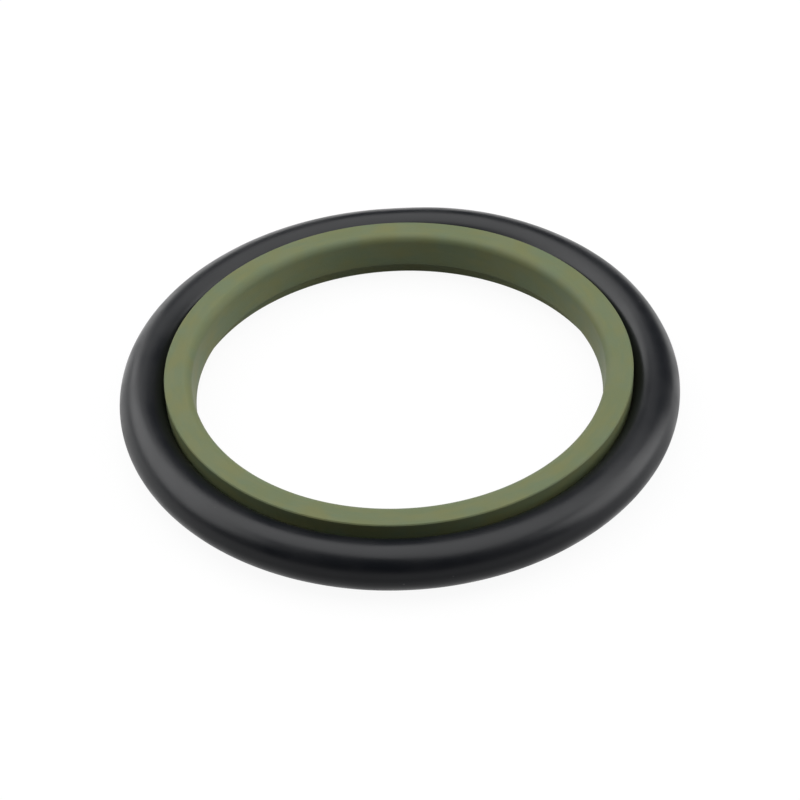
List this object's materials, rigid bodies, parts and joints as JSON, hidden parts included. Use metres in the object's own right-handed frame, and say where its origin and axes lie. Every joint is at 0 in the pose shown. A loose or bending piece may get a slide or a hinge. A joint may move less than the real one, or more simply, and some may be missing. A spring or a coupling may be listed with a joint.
{
  "type": "step rod seal",
  "caption": "Step seal for a hydraulic rod: a turned ring with a stepped sealing lip in its bore, energised by a rubber O-ring stretched round its outside.",
  "frame": {"origin": "on the rod's axis, in the plane of the face on the pressure side, which the seal rests on", "axes": "+Z along the rod, from the pressure side to the low-pressure side; +X and +Y are any two directions across the ring"},
  "size_m": [0.0617, 0.0618, 0.0059],
  "materials": {
    "ring": "olive green filled fluoropolymer, turned, dull satin",
    "rubber": "black moulded nitrile rubber, soft satin"
  },
  "bodies": {
    "root": {"step_ring": "ring", "o_ring": "rubber"}
  },
  "joints": []
}
